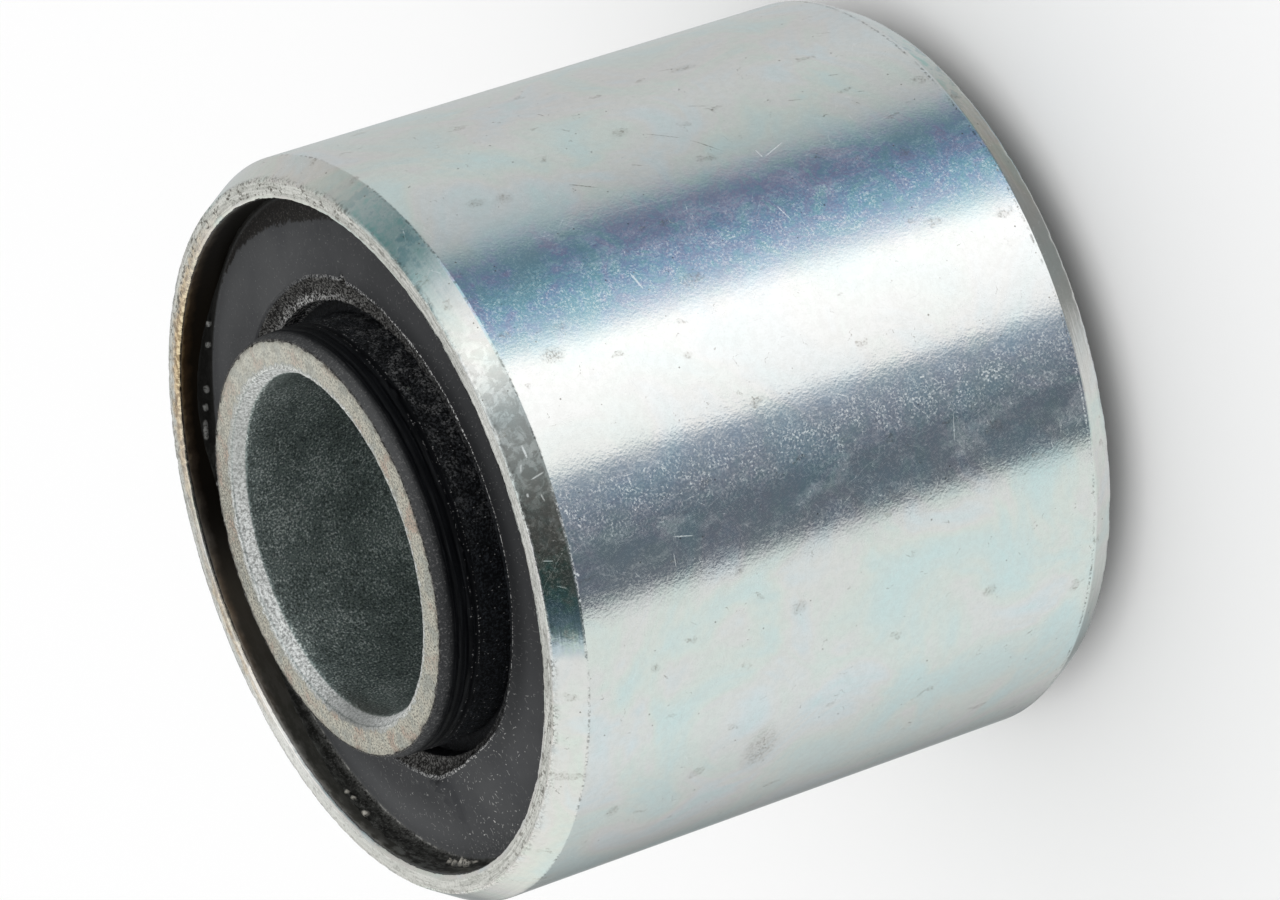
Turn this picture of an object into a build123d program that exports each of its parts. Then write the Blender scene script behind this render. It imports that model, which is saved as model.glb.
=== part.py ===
"""Bonded rubber metal bush: a steel outer sleeve, a steel inner sleeve and the rubber moulded between them.

Millimetres, +Z along the bush's axis. The bush stands on the lower end of its inner sleeve, and the origin
is the centre of that end face.
"""
import os

from build123d import *

# Outer sleeve: turned tube with a bevel on each outside edge, the wider one at the upper end
outer_diameter = 45.0
outer_wall = 2.2
outer_length = 38.0
upper_bevel_width = 1.05
upper_bevel_length = 1.72
lower_bevel_width = 0.78
lower_bevel_length = 1.55
outer_edge_break = 0.15

# Inner sleeve: thick tube for the fixing bolt, standing out past the outer sleeve equally at each end
bore_diameter = 20.5
inner_wall = 2.25
overhang = 2.0
bore_chamfer_width = 0.5
bore_chamfer_length = 0.9
inner_edge_break = 0.1

# Rubber face: an annulus that is sunk below the outer sleeve's rim and rises gently towards the hub
face_depth = 2.3
face_rise = 0.7

# Hub recess: a ledge that slopes down from the lip of the face, then a groove with bevelled bottom corners
ledge_width = 1.25
ledge_drop = 0.42
groove_width = 0.9
groove_depth = 1.2
groove_bevel = 0.25
lip_chamfer = 0.12

# Rubber jacket on the inner sleeve, with a tapered nose and fine V-shaped rings
jacket_thickness = 0.32
nose_length = 0.9
nose_end_thickness = 0.08
nose_setback = 0.12
ring_land = 0.1
ring_depth = 0.1
ring_width = 0.28
ring_pitch = 0.7
ring_count = 3

# Sizes that follow from the ones above
outer_radius = outer_diameter / 2
rubber_outer_radius = outer_radius - outer_wall
bore_radius = bore_diameter / 2
inner_radius = bore_radius + inner_wall
inner_length = outer_length + 2 * overhang
middle_height = inner_length / 2


def revolved(profile_points):
    """Turn a closed outline of (radius, height) points about the bush's axis."""
    with BuildPart() as body:
        with BuildSketch(Plane.XZ):
            with BuildLine():
                Polyline(*profile_points, close=True)
            make_face()
        revolve(axis=Axis.Z)
    return body.part


def make_outer_sleeve():
    """Plain tube with broken bore edges and a bevel on each outside edge."""
    base = overhang
    top = overhang + outer_length
    return revolved([
        (rubber_outer_radius, base + outer_edge_break),
        (rubber_outer_radius + outer_edge_break, base),
        (outer_radius - lower_bevel_width, base),
        (outer_radius, base + lower_bevel_length),
        (outer_radius, top - upper_bevel_length),
        (outer_radius - upper_bevel_width, top),
        (rubber_outer_radius + outer_edge_break, top),
        (rubber_outer_radius, top - outer_edge_break),
    ])


def make_inner_sleeve():
    """Thick tube with a chamfered bore and lightly broken outside edges."""
    return revolved([
        (bore_radius, bore_chamfer_length),
        (bore_radius + bore_chamfer_width, 0),
        (inner_radius - inner_edge_break, 0),
        (inner_radius, inner_edge_break),
        (inner_radius, inner_length - inner_edge_break),
        (inner_radius - inner_edge_break, inner_length),
        (bore_radius + bore_chamfer_width, inner_length),
        (bore_radius, inner_length - bore_chamfer_length),
    ])


def jacket_points(jacket_radius, nose_top, nose_foot):
    """Outline of the jacket from the sleeve, down its nose and over its rings."""
    points = [
        (inner_radius, nose_top),
        (inner_radius + nose_end_thickness, nose_top),
        (jacket_radius, nose_foot),
    ]
    for ring in range(ring_count):
        ring_top = nose_foot - ring_land - ring * ring_pitch
        points += [
            (jacket_radius, ring_top),
            (jacket_radius - ring_depth, ring_top - ring_width / 2),
            (jacket_radius, ring_top - ring_width),
        ]
    return points


def make_rubber_element():
    """One moulded body: half of its outline is drawn above mid-length, mirrored, and turned about the axis."""
    rim_height = outer_length / 2
    sleeve_end = inner_length / 2
    jacket_radius = inner_radius + jacket_thickness
    ledge_radius = jacket_radius + groove_width
    lip_edge_radius = ledge_radius + ledge_width
    face_edge_height = rim_height - face_depth
    lip_height = face_edge_height + face_rise
    ledge_height = lip_height - ledge_drop
    groove_bottom = ledge_height - groove_depth

    nose_top = sleeve_end - nose_setback
    nose_foot = nose_top - nose_length
    jacket = jacket_points(jacket_radius, nose_top, nose_foot)

    with BuildPart() as body:
        with BuildSketch(Plane.XZ) as section:
            with BuildLine():
                Polyline(
                    (inner_radius, 0),
                    *jacket,
                    (jacket_radius, groove_bottom + groove_bevel),
                    (jacket_radius + groove_bevel, groove_bottom),
                    (ledge_radius - groove_bevel, groove_bottom),
                    (ledge_radius, groove_bottom + groove_bevel),
                    (ledge_radius, ledge_height),
                    (lip_edge_radius, lip_height),
                    (rubber_outer_radius, face_edge_height),
                    (rubber_outer_radius, 0),
                    close=True,
                )
            make_face()
            lip = section.vertices().sort_by_distance((lip_edge_radius, lip_height))[0]
            chamfer(lip, lip_chamfer)
            mirror(about=Plane.XZ)
        revolve(axis=Axis.Z)
    return body.part.moved(Location((0, 0, middle_height)))


pieces = {
    "outer_sleeve": make_outer_sleeve(),
    "rubber_element": make_rubber_element(),
    "inner_sleeve": make_inner_sleeve(),
}

os.makedirs("parts", exist_ok=True)
for node, piece in pieces.items():
    export_step(piece, f"parts/{node}.step")
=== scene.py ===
"""Looks of the bonded rubber metal bush: zinc-plated outer sleeve, bare inner sleeve and moulded rubber.

Lengths here are millimetres until a mesh is made or the camera is placed, which are in metres. A "side angle"
is in degrees round the bush's axis, counter-clockwise seen from above, and 0 is the side that faces the camera.
"""

import math

import bpy
import numpy as np
from mathutils import Matrix, Vector, noise


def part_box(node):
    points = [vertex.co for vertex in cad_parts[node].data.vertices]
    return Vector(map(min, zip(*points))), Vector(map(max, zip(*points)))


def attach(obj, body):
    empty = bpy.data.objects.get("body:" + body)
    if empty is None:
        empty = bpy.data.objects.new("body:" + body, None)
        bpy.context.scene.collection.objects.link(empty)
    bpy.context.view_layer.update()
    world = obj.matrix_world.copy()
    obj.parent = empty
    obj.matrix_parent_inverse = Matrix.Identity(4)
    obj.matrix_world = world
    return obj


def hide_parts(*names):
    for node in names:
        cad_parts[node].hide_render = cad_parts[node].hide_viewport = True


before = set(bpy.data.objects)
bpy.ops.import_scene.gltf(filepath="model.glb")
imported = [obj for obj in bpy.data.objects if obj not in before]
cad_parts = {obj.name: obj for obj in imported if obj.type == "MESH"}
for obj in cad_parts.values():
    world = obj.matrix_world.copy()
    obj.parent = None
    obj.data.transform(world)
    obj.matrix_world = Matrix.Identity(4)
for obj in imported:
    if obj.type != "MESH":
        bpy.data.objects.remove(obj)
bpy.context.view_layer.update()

MM = 0.001
CAMERA_SIDE = -90          # azimuth in the frame of side angle 0

# ---------------------------------------------------------------- sizes
# from the boxes of the CAD nodes
OUTER_RADIUS = -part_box("outer_sleeve")[0].x / MM
RIM_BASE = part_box("outer_sleeve")[0].z / MM
RIM_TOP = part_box("outer_sleeve")[1].z / MM
HUB_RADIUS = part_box("inner_sleeve")[1].x / MM
HUB_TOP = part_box("inner_sleeve")[1].z / MM
BOND_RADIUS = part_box("rubber_element")[1].x / MM
BORE_RADIUS = 10.25
MIDDLE = HUB_TOP / 2
DEGREE_ON_SIDE = math.radians(1) * OUTER_RADIUS     # length of one degree of side angle on the outer sleeve

UPPER_BEVEL = (1.05, 1.72)   # width across the rim, length along the side
LOWER_BEVEL = (0.78, 1.55)
BORE_CHAMFER = (0.5, 0.9)
RIM_WALL = 2.6               # length of the sleeve's bore that is modelled finely, from the rim down
SUPPORT = 0.1                # from a rounded edge to the next row, so that its shading stays at the edge
EDGE_STEPS = 3               # steps round a rounded edge

# the rubber's end: heights and radii of the face, ledge, groove, jacket and nose
FACE_DEPTH = 2.3             # face below the rim, where it meets the outer sleeve
FACE_RISE = 0.7
LEDGE_WIDTH = 1.25
LEDGE_DROP = 0.42
GROOVE_WIDTH = 0.9
GROOVE_DEPTH = 1.2
GROOVE_BEVEL = 0.25
JACKET = 0.32
NOSE_SETBACK = 0.12
NOSE_LENGTH = 0.9
NOSE_END = 0.08
SKIN_FILLET = 0.3            # from the skin on the sleeve's wall to the first row of the face
FACE_EDGE = RIM_TOP - FACE_DEPTH
JACKET_RADIUS = HUB_RADIUS + JACKET
LEDGE_RADIUS = JACKET_RADIUS + GROOVE_WIDTH
LEDGE_HEIGHT = FACE_EDGE + FACE_RISE - LEDGE_DROP
FACE_SLOPE = FACE_RISE / (BOND_RADIUS - LEDGE_RADIUS - LEDGE_WIDTH)
GROOVE_BOTTOM = LEDGE_HEIGHT - GROOVE_DEPTH
JACKET_FOOT = GROOVE_BOTTOM + GROOVE_BEVEL
NOSE_TOP = HUB_TOP - NOSE_SETBACK
NOSE_FOOT = NOSE_TOP - NOSE_LENGTH
HIGHEST = HUB_TOP - 0.012    # no rubber stands above this


# ================================================================ small helpers for shapes
def window(angle, centre, half_width):
    """1 at the centre angle, falling smoothly to 0 at half_width degrees away from it."""
    away = np.abs((np.asarray(angle) - centre + 180) % 360 - 180) / half_width
    return np.where(away < 1, 0.5 + 0.5 * np.cos(np.pi * np.minimum(away, 1)), 0)


def step(value, low, high):
    """Smooth step from 0 at low to 1 at high."""
    t = np.clip((np.asarray(value, float) - low) / (high - low), 0, 1)
    return t * t * (3 - 2 * t)


def bumps(points, size, seed, octaves=3):
    """Fractal noise, about -1 to 1, with its largest bumps size millimetres across."""
    shift = 7.31 * seed
    flat = points.reshape(-1, 3) / size + (shift, -shift, 0.5 * shift)
    values = [noise.fractal(p, 1.0, 2.0, octaves) for p in flat.tolist()]
    return np.array(values).reshape(points.shape[:-1])


def side_angles(segments):
    """Side angles of a ring's points. The seam is at the back, at 180."""
    return -180 + 360 * np.arange(segments) / segments


def around(radius, height, segments):
    """Points of rings: radius and height are columns of one value a ring, or whole grids."""
    angle = np.radians(side_angles(segments) + CAMERA_SIDE)[None, :]
    radius, height = np.broadcast_arrays(radius, height, subok=False)
    grid = np.zeros((radius.shape[0], segments, 3))
    grid[..., 0] = radius * np.cos(angle)
    grid[..., 1] = radius * np.sin(angle)
    grid[..., 2] = height * np.ones_like(angle)
    return grid


def radius_of(grid):
    return np.hypot(grid[..., 0], grid[..., 1])


def normals_of(grid):
    """Outward normals of a grid of rings."""
    along_ring = np.roll(grid, -1, axis=1) - np.roll(grid, 1, axis=1)
    along_rows = np.gradient(grid, axis=0)
    normal = np.cross(along_ring, along_rows)
    return normal / np.maximum(np.linalg.norm(normal, axis=2, keepdims=True), 1e-12)


def lathe_rings(corners, segments):
    """Rings of a closed lathe profile, and masks of the surfaces that they lie on, by name.

    A corner is (radius, height, rounding, name of the side after it, that side's rows). A rounded corner's
    own rows are "edge".
    """
    rows = []
    for i, (radius, height, rounding, side, steps) in enumerate(corners):
        following = corners[(i + 1) % len(corners)]
        here = np.array((radius, height))
        before = np.array(corners[i - 1][:2]) - here
        after = np.array(following[:2]) - here
        start = here
        if rounding:
            first = here + before / np.linalg.norm(before) * rounding
            start = here + after / np.linalg.norm(after) * rounding
            for t in np.linspace(0, 1, EDGE_STEPS + 1):
                point = (1 - t) ** 2 * first + 2 * t * (1 - t) * here + t * t * start
                rows.append((*point, "edge"))
        else:
            rows.append((*here, side))
        end = here + after * (1 - following[2] / np.linalg.norm(after))
        places = np.linspace(0, 1, steps + 2)[1:-1]
        support = SUPPORT / np.linalg.norm(end - start)
        if support < places[0] * 0.6:
            places = np.concatenate(([support], places, [1 - support]))
        for t in places:
            rows.append((*(start + (end - start) * t), side))
    radii, heights, parts = zip(*rows)
    grid = around(np.array(radii)[:, None], np.array(heights)[:, None], segments)
    return grid, zones_of(parts, segments)


def zones_of(parts, segments):
    """For the name of each surface, a mask that is 1 on the rows that lie on it."""
    return {name: np.outer(np.array(parts) == name, np.ones(segments)) for name in dict.fromkeys(parts)}


def quads_between(first, second, u, v_first, v_second):
    """Faces and their UVs between two rings of the same size."""
    faces, uvs = [], []
    segments = len(u) - 1
    for j in range(segments):
        k = (j + 1) % segments
        faces.append((first + j, first + k, second + k, second + j))
        uvs += [(u[j], v_first), (u[j + 1], v_first), (u[j + 1], v_second), (u[j], v_second)]
    return faces, uvs


def narrowing_between(fine, coarse, u, v_fine, v_coarse, flip):
    """Triangles between a ring and one with half its points, which lies after it, or before it with flip."""
    faces, uvs = [], []
    segments = len(u) - 1
    for j in range(segments // 2):
        a, b, c = fine + 2 * j, fine + 2 * j + 1, fine + (2 * j + 2) % segments
        d, e = coarse + j, coarse + (j + 1) % (segments // 2)
        left, middle, right = u[2 * j:2 * j + 3]
        made = [
            ((a, b, d), (left, v_fine), (middle, v_fine), (left, v_coarse)),
            ((b, e, d), (middle, v_fine), (right, v_coarse), (left, v_coarse)),
            ((b, c, e), (middle, v_fine), (right, v_fine), (right, v_coarse)),
        ]
        for corners, *places in made:
            faces.append(corners[::-1] if flip else corners)
            uvs += places[::-1] if flip else places
    return faces, uvs


def lathe_object(name, grids, attributes):
    """A closed mesh from grids of rings, of which one may have half its neighbour's segments.

    UV "surface" is millimetres: round the outer radius, and along the profile.
    """
    rings = []
    start = 0
    for points in (ring for grid in grids for ring in grid):
        rings.append((start, points))
        start += len(points)
    faces, uvs = [], []
    v = 0
    for (here, points), (other, other_points) in zip(rings, rings[1:] + rings[:1]):
        next_v = v + float(np.linalg.norm(other_points[0] - points[0]))
        finer = max(len(points), len(other_points))
        u = [2 * math.pi * OUTER_RADIUS * j / finer for j in range(finer + 1)]
        if len(points) == len(other_points):
            new = quads_between(here, other, u, v, next_v)
        elif len(points) > len(other_points):
            new = narrowing_between(here, other, u, v, next_v, False)
        else:
            new = narrowing_between(other, here, u, next_v, v, True)
        faces += new[0]
        uvs += new[1]
        v = next_v
    mesh = bpy.data.meshes.new(name)
    vertices = np.concatenate([grid.reshape(-1, 3) for grid in grids])
    mesh.from_pydata((vertices * MM).tolist(), [], faces)
    layer = mesh.uv_layers.new(name="surface")
    layer.data.foreach_set("uv", np.array(uvs, np.float32).ravel())
    for label, values in attributes.items():
        made = mesh.attributes.new(label, "FLOAT", "POINT")
        made.data.foreach_set("value", np.concatenate([v.ravel() for v in values]).astype(np.float32))
    mesh.shade_smooth()
    mesh.update()
    return linked(name, mesh)


def linked(name, data):
    """A new object of the scene with the data."""
    made = bpy.data.objects.new(name, data)
    bpy.context.scene.collection.objects.link(made)
    return made


# ================================================================ outer sleeve
def make_outer_sleeve(segments=840):
    corners = [
        (BOND_RADIUS, RIM_BASE, 0.16, "rim", 5),
        (OUTER_RADIUS - LOWER_BEVEL[0], RIM_BASE, 0.07, "bevel", 4),
        (OUTER_RADIUS, RIM_BASE + LOWER_BEVEL[1], 0.06, "side", 20),
        (OUTER_RADIUS, RIM_TOP - UPPER_BEVEL[1], 0.06, "bevel", 6),
        (OUTER_RADIUS - UPPER_BEVEL[0], RIM_TOP, 0.07, "rim", 7),
        (BOND_RADIUS, RIM_TOP, 0.2, "wall", 8),
        (BOND_RADIUS, RIM_TOP - RIM_WALL, 0, "bond", 1),
        (BOND_RADIUS, RIM_BASE + RIM_WALL, 0, "wall", 5),
    ]
    grid, zone = lathe_rings(corners, segments)
    at_rim = zone["edge"] * (radius_of(grid) < OUTER_RADIUS - 0.3)
    nicks = 0.035 * step(bumps(grid, 0.9, 3), 0.2, 0.55) + 0.02 * step(bumps(grid, 0.4, 4), 0.1, 0.5)
    dented = 0.012 * step(bumps(grid, 2.2, 6), 0.35, 0.7)
    rough = 0.5 + 0.5 * bumps(grid, 0.5, 5)
    inward = at_rim * nicks + zone["edge"] * dented + zone["rim"] * 0.022 * rough
    grid -= normals_of(grid) * inward[..., None]
    attributes = {"rim": [zone["rim"]], "bevel": [zone["bevel"]], "wall": [zone["wall"] + zone["bond"]]}
    return lathe_object("outer_sleeve_surface", [grid], attributes)


# ================================================================ inner sleeve
def make_inner_sleeve(segments=720):
    corners = [
        (BORE_RADIUS + BORE_CHAMFER[0], 0, 0.07, "end", 5),
        (HUB_RADIUS, 0, 0.13, "bond", 1),
        (HUB_RADIUS, HUB_TOP, 0.13, "end", 5),
        (HUB_RADIUS - 0.55, HUB_TOP, 0, "end", 6),
        (BORE_RADIUS + BORE_CHAMFER[0], HUB_TOP, 0.07, "chamfer", 8),
        (BORE_RADIUS, HUB_TOP - BORE_CHAMFER[1], 0.1, "bore", 34),
        (BORE_RADIUS, BORE_CHAMFER[1], 0.1, "chamfer", 5),
    ]
    grid, zone = lathe_rings(corners, segments)
    radius = radius_of(grid)
    edge, end, chamfer, bore = [zone[name] for name in ("edge", "end", "chamfer", "bore")]
    grain = 0.5 + 0.5 * bumps(grid, 0.42, 11)
    ragged = 0.04 + 0.08 * window(side_angles(segments)[None, :], 80, 70)
    ragged = step(bumps(grid, 0.7, 12), 0, 0.5) * ragged
    outer_side = step(radius, HUB_RADIUS - 0.45, HUB_RADIUS - 0.1)
    inward = end * 0.012 * grain + chamfer * 0.06 * grain + bore * 0.012 * grain
    inward += edge * (1 - outer_side) * 0.05 * grain + (end + edge) * outer_side * (0.02 + ragged)
    grid -= normals_of(grid) * np.clip(inward, 0, None)[..., None]
    attributes = {"end": [end + edge * (radius > BORE_RADIUS + 0.3)], "chamfer": [chamfer]}
    return lathe_object("inner_sleeve_surface", [grid], attributes)


# ================================================================ rubber element
# dark and light rings round the jacket: depth below the hub's end, half width, height
RINGS = [
    (0.98, 0.1, -0.07),
    (1.2, 0.09, -0.12),
    (1.84, 0.08, -0.1),
    (2.1, 0.03, 0.035),
    (2.3, 0.03, -0.035),
    (2.5, 0.03, 0.03),
]
# marks on the jacket: side angle, depth below the hub's end, half width in degrees, half height, height
JACKET_MARKS = [
    (35, 3.3, 1.9, 0.3, -0.38),
    (37, 2, 1.6, 0.14, 0.16),
    (33.4, 2.2, 1.3, 0.15, 0.15),
    (33.6, 2.9, 2, 0.12, 0.14),
    (-11, 2.15, 0.5, 0.06, 0.16),
    (-14.6, 2.1, 2.2, 0.05, 0.1),
    (-58, 0.2, 1.6, 0.25, 0.24),
    (-60.5, 0.55, 1, 0.22, 0.16),
]
CUT_DEPTH = 0.09
# short cuts in the face, all of that depth: side angle, radius, half width in degrees, half length
FACE_CUTS = [
    (76.6, 18.2, 0.35, 0.3),
    (72.1, 17.9, 0.35, 0.35),
    (88, 19.4, 0.3, 0.2),
    (-106, 19.8, 0.5, 0.35),
    (12, 15.9, 0.5, 0.12),
]
# crumbs left at the sleeve's wall by the mould: side angle, height over the face's edge, half width in
# degrees, half height, size
CRUMBS = [
    (-96.4, 0.4, 0.6, 0.18, 0.34),
    (-97.6, 0.7, 1, 0.24, 0.36),
    (-99.5, 0.68, 1, 0.24, 0.42),
    (-101.6, 0.78, 0.9, 0.2, 0.34),
    (-103.6, 0.75, 0.7, 0.18, 0.3),
    (-129.5, 1.15, 0.9, 0.22, 0.34),
    (-134, 1, 0.5, 0.15, 0.2),
    (-135.8, 1.05, 0.5, 0.15, 0.2),
]
# thin flakes of rubber on the wall: side angle and height over the face's edge of one end and the other, size
FLAKES = [
    (132, 0.38, 133.6, 0.32, 0.2),
    (136.6, 0.36, 138, 0.26, 0.16),
    (145.2, 0.5, 147, 0.36, 0.2),
    (148.6, 0.62, 150.4, 0.5, 0.24),
    (151.4, 0.66, 155.8, 0.72, 0.14),
    (163.4, 0.6, 163.8, 0.2, 0.14),
]
FLAKE_WIDTH = 0.48


def near_marks(angles, across, marks):
    """How far each point is raised by marks, each given by its middle, half width, half length and height."""
    for centre, middle, wide, tall, size in marks:
        away = (angles - centre + 180) % 360 - 180
        yield size * np.exp(-(away / wide) ** 2 - ((across - middle) / tall) ** 2)


def flake_mark(flake):
    """A flake as its middle angle and height, half width in degrees, half height and size."""
    first_angle, first_height, last_angle, last_height, size = flake
    half_width = abs(last_angle - first_angle) / 2
    half_height = max(abs(last_height - first_height) / 2, 0.08)
    return (first_angle + last_angle) / 2, (first_height + last_height) / 2, half_width, half_height, size


class Profile:
    """Rows of the rubber's profile, each a ring of its own radii and heights on a named surface."""

    def __init__(self, segments, fineness):
        self.segments = segments
        self.fineness = fineness
        self.radii, self.heights, self.parts = [], [], []

    def add(self, part, radius, height):
        self.radii.append(np.broadcast_to(radius, (1, self.segments)))
        self.heights.append(np.broadcast_to(height, (1, self.segments)))
        self.parts.append(part)

    def places(self, first, last, count):
        return np.linspace(first, last, max(2, round(count * self.fineness)))

    def grid(self):
        return around(np.concatenate(self.radii), np.concatenate(self.heights), self.segments)


def lip_line(angle, slow, ragged, shown):
    """Radius of the lip round the groove, how rough the rubber is there, and the lip's notch."""
    rough = 1 - 0.85 * shown * window(angle, -28, 82)
    placed = 0.36 * window(angle, 72, 34) - 0.6 * window(angle, -80, 26) - 0.4 * window(angle, -50, 44)
    shift = shown * placed + rough * (0.07 * slow + 0.05 * ragged)
    notch = shown * window(angle, 68, 1.8)
    return LEDGE_RADIUS + LEDGE_WIDTH + shift + 0.3 * notch, rough, notch


def skin_and_face_rows(profile, skin_height, lip_start):
    """Rows from the bond with the outer sleeve over the skin on its bore and over the face, to the lip."""
    thick = 0.02 + 0.03 * np.minimum(skin_height, 1)
    profile.add("bond", BOND_RADIUS, MIDDLE + 1)
    profile.add("bond", BOND_RADIUS, FACE_EDGE - 0.3)
    for k in (0.5, 1):
        profile.add("skin", BOND_RADIUS - 0.006 * k, FACE_EDGE + skin_height * k)
    for k in profile.places(0.96, 0, 8):
        inward = thick * (1 - k) ** 0.55 + 0.02 + 0.12 * (1 - k) ** 4
        profile.add("skin", BOND_RADIUS - inward, FACE_EDGE + skin_height * k + 0.09 * (1 - k))
    foot = BOND_RADIUS - thick - SKIN_FILLET
    for k in profile.places(0, 1, 20):
        radius = foot + (lip_start - foot) * k
        profile.add("face", radius, FACE_EDGE + FACE_SLOPE * (BOND_RADIUS - radius))


def lip_and_ledge_rows(profile, lip_radius, lip_half, flash, notch):
    """Rows over the lip with its flash, and down the sloping ledge."""
    start, end = lip_radius + lip_half, lip_radius - lip_half
    lip_height = FACE_EDGE + FACE_SLOPE * (BOND_RADIUS - lip_radius)
    slope = (lip_height - LEDGE_HEIGHT) / (lip_radius - LEDGE_RADIUS)
    for k in (0.2, 0.5, 0.8):
        swell = flash * math.sin(math.pi * k) - 0.06 * k
        profile.add("lip", start + (end - start) * k, lip_height + swell - 0.22 * notch)
    for k in profile.places(0, 1, 10):
        radius = end + (LEDGE_RADIUS + 0.05 - end) * k
        sag = 0.16 * math.sin(math.pi * k) + 0.3 * notch * (1 - k)
        profile.add("ledge", radius, LEDGE_HEIGHT + slope * (radius - LEDGE_RADIUS) - sag)


def groove_and_jacket_rows(profile):
    """Rows down the groove's outer side, round its bottom and up the jacket."""
    for k in profile.places(0, 1, 6):
        profile.add("groove", LEDGE_RADIUS, LEDGE_HEIGHT - 0.06 - (GROOVE_DEPTH - GROOVE_BEVEL - 0.06) * k)
    half = GROOVE_WIDTH / 2
    for k in profile.places(0, 1, 5):
        height = GROOVE_BOTTOM + GROOVE_BEVEL * (1 - math.sin(math.pi * k))
        profile.add("groove", JACKET_RADIUS + half + half * math.cos(math.pi * k), height)
    for k in (*profile.places(0.04, 0.55, 15), *profile.places(0.565, 1, 30)):
        profile.add("jacket", JACKET_RADIUS, JACKET_FOOT + (NOSE_FOOT - JACKET_FOOT) * k)


def nose_rows(profile, hub_line, seed):
    """Rows over the jacket's nose and the tufts at the hub's end, to the bond with the hub."""
    top_edge = NOSE_TOP + 0.03 + 0.05 * bumps(hub_line, 0.9, seed + 2)
    end_radius = HUB_RADIUS + NOSE_END + 0.03 * bumps(hub_line, 0.7, seed + 3)
    for k in profile.places(0.1, 1, 9):
        radius = JACKET_RADIUS + (end_radius - JACKET_RADIUS) * k + 0.05 * math.sin(math.pi * k)
        profile.add("nose", radius, NOSE_FOOT + (top_edge - NOSE_FOOT) * k)
    tufted = 0.35 + 0.9 * step(bumps(hub_line, 4, seed + 12), -0.2, 0.3)
    reach = 0.12 + 0.18 * tufted * np.maximum(bumps(hub_line, 0.8, seed + 4), -0.3)
    for k in (0.35, 0.7, 1):
        crest = np.minimum(top_edge + 0.07 * math.sin(math.pi * k), HIGHEST)
        profile.add("fringe", end_radius - (end_radius - HUB_RADIUS + reach) * k, crest)
    profile.add("bond", HUB_RADIUS - 0.03, HUB_TOP - 0.35)
    profile.add("bond", HUB_RADIUS, MIDDLE + 1)


def rubber_relief(grid, zone, rough, seed):
    """How far points stand out for the jacket's rings and for torn and granular surfaces.

    Returns the mask of what is torn and the fine noise too.
    """
    depth = HUB_TOP - grid[..., 2]
    coarse = bumps(grid, 0.75, seed + 5)
    fine = bumps(grid, 0.26, seed + 6)
    broken = np.clip(0.8 + 0.9 * bumps(grid * (1, 1, 2.5), 1.6, seed + 11), 0.1, 1.4)
    out = np.zeros(depth.shape)
    for centre, half_width, height in RINGS:
        out += zone["jacket"] * height * broken * np.exp(-((depth - centre) / half_width) ** 2)
    granular = zone["jacket"] * step(depth, 2.4, 2.9)
    torn = np.clip(zone["ledge"] + 0.4 * zone["lip"] + 0.8 * zone["groove"] + granular, 0, 1)
    out += rough * torn * (0.06 * coarse + 0.05 * fine)
    out += rough * zone["ledge"] * (0.05 * coarse + 0.03 * fine)
    out += zone["nose"] * (0.02 * coarse + 0.02 * fine) + zone["fringe"] * 0.04 * fine
    out += zone["skin"] * (0.01 * coarse + 0.008 * fine)
    out += zone["face"] * 0.004 * bumps(grid, 3, seed + 8, 2)
    return out, torn, fine


def placed_relief(grid, zone, fine):
    """How far points stand out for the marks, crumbs, flakes and cuts that are listed."""
    angles = np.broadcast_to(side_angles(grid.shape[1])[None, :], grid.shape[:2])
    over_face = grid[..., 2] - FACE_EDGE
    out = np.zeros(angles.shape)
    for mark in near_marks(angles, HUB_TOP - grid[..., 2], JACKET_MARKS):
        out += (zone["jacket"] + zone["nose"]) * mark * (1 + 0.6 * fine)
    for mark in near_marks(angles, over_face, CRUMBS):
        out += (zone["skin"] + zone["face"]) * mark * (0.8 + 0.9 * fine)
    for mark in near_marks(angles, over_face, [flake_mark(flake) for flake in FLAKES]):
        out += zone["skin"] * mark * (0.8 + 0.6 * fine)
    for mark in near_marks(angles, radius_of(grid), [(*cut, CUT_DEPTH) for cut in FACE_CUTS]):
        out -= zone["face"] * mark
    return out


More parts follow.
